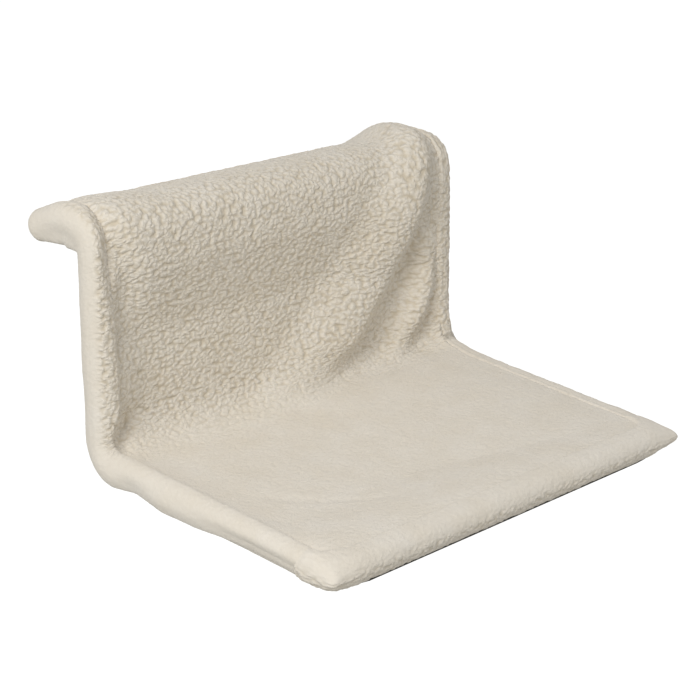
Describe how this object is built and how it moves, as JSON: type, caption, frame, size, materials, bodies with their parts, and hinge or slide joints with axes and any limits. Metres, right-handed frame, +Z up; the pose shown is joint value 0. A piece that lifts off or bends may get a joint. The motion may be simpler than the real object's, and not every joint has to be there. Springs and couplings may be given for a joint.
{
  "type": "radiator cat hammock",
  "caption": "Cream pile-cloth cat hammock on a bolted steel tube frame, with hook arms that rest on top of a radiator and a flat padded seat.",
  "frame": {"origin": "mid-width, in the inner corner of the hooks, where the radiator's top front edge sits", "axes": "+X along the radiator to the right as seen from the front, +Y back towards the wall, +Z up"},
  "size_m": [0.46, 0.3556, 0.2745],
  "materials": {
    "pile_cloth": "matt curly pile",
    "lining_cloth": "matt plain weave",
    "closure_tape": "matt looped tape",
    "frame_paint": "satin powder coat",
    "fastener_steel": "zinc plated",
    "cap_rubber": "matt"
  },
  "bodies": {
    "root": {"left_side_tube": "frame_paint", "right_side_tube": "frame_paint", "seat_hoop": "frame_paint", "top_cross_tube": "frame_paint", "cross_tube_inserts": "fastener_steel", "saddle_washers": "fastener_steel", "cross_tube_bolts": "fastener_steel", "hoop_lock_bolts": "fastener_steel", "hoop_cap_nuts": "fastener_steel", "left_hook_cap": "cap_rubber", "right_hook_cap": "cap_rubber", "left_side_sleeve": "pile_cloth", "right_side_sleeve": "pile_cloth", "front_sleeve": "pile_cloth", "sherpa_panel": "pile_cloth", "rear_edge_band": "pile_cloth", "back_lining": "lining_cloth", "seat_lining": "lining_cloth", "closure_loop_tape": "closure_tape", "closure_hook_tape": "closure_tape"}
  },
  "joints": []
}
